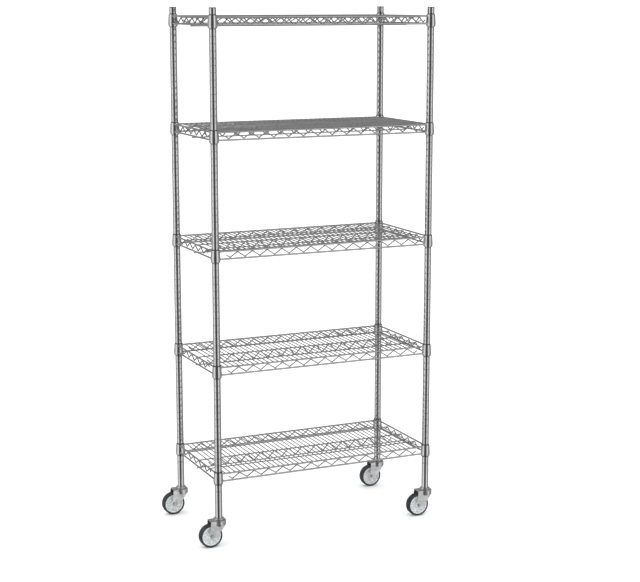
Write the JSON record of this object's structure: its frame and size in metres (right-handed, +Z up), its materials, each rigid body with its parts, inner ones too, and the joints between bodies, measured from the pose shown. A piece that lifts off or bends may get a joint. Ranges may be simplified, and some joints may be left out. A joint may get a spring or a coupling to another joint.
{
  "type": "wire shelving rack",
  "caption": "Tall mobile chrome wire shelving rack: open wire shelves on grooved corner posts, each post on a swivel caster.",
  "frame": {"origin": "on the floor, at the middle of the bounding box; the posts' centre is 25.75 mm to +X of it because the casters trail to -X", "axes": "+X along the length of the shelves, +Y to the back, +Z up the posts"},
  "size_m": [0.9814, 0.4735, 1.9896],
  "materials": {
    "post_chrome": "bright chrome plate over steel tube",
    "wire_chrome": "bright chrome plate over steel wire",
    "collar_chrome": "bright chrome plate over pressed steel",
    "zinc": "bright zinc plate over stamped steel",
    "bolt_zinc": "zinc-plated fastener",
    "bearing_steel": "polished hardened steel",
    "hub_plastic": "moulded, satin, cool light grey",
    "tyre": "matt dark grey rubber",
    "sleeve_plastic": "moulded, dark grey",
    "cap_plastic": "moulded, dark grey"
  },
  "bodies": {
    "frame": {"post_front_left": "post_chrome", "post_front_right": "post_chrome", "post_back_left": "post_chrome", "post_back_right": "post_chrome", "post_caps": "cap_plastic", "caster_stems": "zinc", "stem_expanders": "cap_plastic", "swivel_balls": "bearing_steel", "shelf_1_sleeves": "sleeve_plastic", "shelf_2_sleeves": "sleeve_plastic", "shelf_3_sleeves": "sleeve_plastic", "shelf_4_sleeves": "sleeve_plastic", "shelf_5_sleeves": "sleeve_plastic"},
    "shelf_1": {"shelf_1_collars": "collar_chrome", "shelf_1_mat_wires": "wire_chrome", "shelf_1_long_trusses": "wire_chrome", "shelf_1_end_trusses": "wire_chrome", "shelf_1_under_ribs": "wire_chrome"},
    "shelf_2": {"shelf_2_collars": "collar_chrome", "shelf_2_mat_wires": "wire_chrome", "shelf_2_long_trusses": "wire_chrome", "shelf_2_end_trusses": "wire_chrome", "shelf_2_under_ribs": "wire_chrome"},
    "shelf_3": {"shelf_3_collars": "collar_chrome", "shelf_3_mat_wires": "wire_chrome", "shelf_3_long_trusses": "wire_chrome", "shelf_3_end_trusses": "wire_chrome", "shelf_3_under_ribs": "wire_chrome"},
    "shelf_4": {"shelf_4_collars": "collar_chrome", "shelf_4_mat_wires": "wire_chrome", "shelf_4_long_trusses": "wire_chrome", "shelf_4_end_trusses": "wire_chrome", "shelf_4_under_ribs": "wire_chrome"},
    "shelf_5": {"shelf_5_collars": "collar_chrome", "shelf_5_mat_wires": "wire_chrome", "shelf_5_long_trusses": "wire_chrome", "shelf_5_end_trusses": "wire_chrome", "shelf_5_under_ribs": "wire_chrome"},
    "caster_front_left_swivel": {"caster_front_left_fork": "zinc", "caster_front_left_axle_bolt": "bolt_zinc", "caster_front_left_axle_bushing": "bolt_zinc"},
    "caster_front_left_wheel": {"caster_front_left_hub": "hub_plastic", "caster_front_left_tyre": "tyre"},
    "caster_front_right_swivel": {"caster_front_right_fork": "zinc", "caster_front_right_axle_bolt": "bolt_zinc", "caster_front_right_axle_bushing": "bolt_zinc"},
    "caster_front_right_wheel": {"caster_front_right_hub": "hub_plastic", "caster_front_right_tyre": "tyre"},
    "caster_back_left_swivel": {"caster_back_left_fork": "zinc", "caster_back_left_axle_bolt": "bolt_zinc", "caster_back_left_axle_bushing": "bolt_zinc"},
    "caster_back_left_wheel": {"caster_back_left_hub": "hub_plastic", "caster_back_left_tyre": "tyre"},
    "caster_back_right_swivel": {"caster_back_right_fork": "zinc", "caster_back_right_axle_bolt": "bolt_zinc", "caster_back_right_axle_bushing": "bolt_zinc"},
    "caster_back_right_wheel": {"caster_back_right_hub": "hub_plastic", "caster_back_right_tyre": "tyre"}
  },
  "joints": [
    {"name": "shelf_1_lift", "type": "slide", "parent": "frame", "child": "shelf_1", "axis": [0, 0, 1], "range_m": [0, 0.3589]},
    {"name": "shelf_2_lift", "type": "slide", "parent": "frame", "child": "shelf_2", "axis": [0, 0, 1], "range_m": [0, 0.3843]},
    {"name": "shelf_3_lift", "type": "slide", "parent": "frame", "child": "shelf_3", "axis": [0, 0, 1], "range_m": [0, 0.3843]},
    {"name": "shelf_4_lift", "type": "slide", "parent": "frame", "child": "shelf_4", "axis": [0, 0, 1], "range_m": [0, 0.3589]},
    {"name": "shelf_5_lift", "type": "slide", "parent": "frame", "child": "shelf_5", "axis": [0, 0, 1], "range_m": [0, 0.1]},
    {"name": "caster_front_left_turn", "type": "hinge", "parent": "frame", "child": "caster_front_left_swivel", "pos_m": [-0.41225, -0.2095, 0.104], "axis": [0, 0, 1], "continuous": true},
    {"name": "caster_front_right_turn", "type": "hinge", "parent": "frame", "child": "caster_front_right_swivel", "pos_m": [0.46375, -0.2095, 0.104], "axis": [0, 0, 1], "continuous": true},
    {"name": "caster_back_left_turn", "type": "hinge", "parent": "frame", "child": "caster_back_left_swivel", "pos_m": [-0.41225, 0.2095, 0.104], "axis": [0, 0, 1], "continuous": true},
    {"name": "caster_back_right_turn", "type": "hinge", "parent": "frame", "child": "caster_back_right_swivel", "pos_m": [0.46375, 0.2095, 0.104], "axis": [0, 0, 1], "continuous": true},
    {"name": "caster_front_left_roll", "type": "hinge", "parent": "caster_front_left_swivel", "child": "caster_front_left_wheel", "pos_m": [-0.44625, -0.2095, 0.0445], "axis": [0, 1, 0], "continuous": true},
    {"name": "caster_front_right_roll", "type": "hinge", "parent": "caster_front_right_swivel", "child": "caster_front_right_wheel", "pos_m": [0.42975, -0.2095, 0.0445], "axis": [0, 1, 0], "continuous": true},
    {"name": "caster_back_left_roll", "type": "hinge", "parent": "caster_back_left_swivel", "child": "caster_back_left_wheel", "pos_m": [-0.44625, 0.2095, 0.0445], "axis": [0, 1, 0], "continuous": true},
    {"name": "caster_back_right_roll", "type": "hinge", "parent": "caster_back_right_swivel", "child": "caster_back_right_wheel", "pos_m": [0.42975, 0.2095, 0.0445], "axis": [0, 1, 0], "continuous": true}
  ]
}
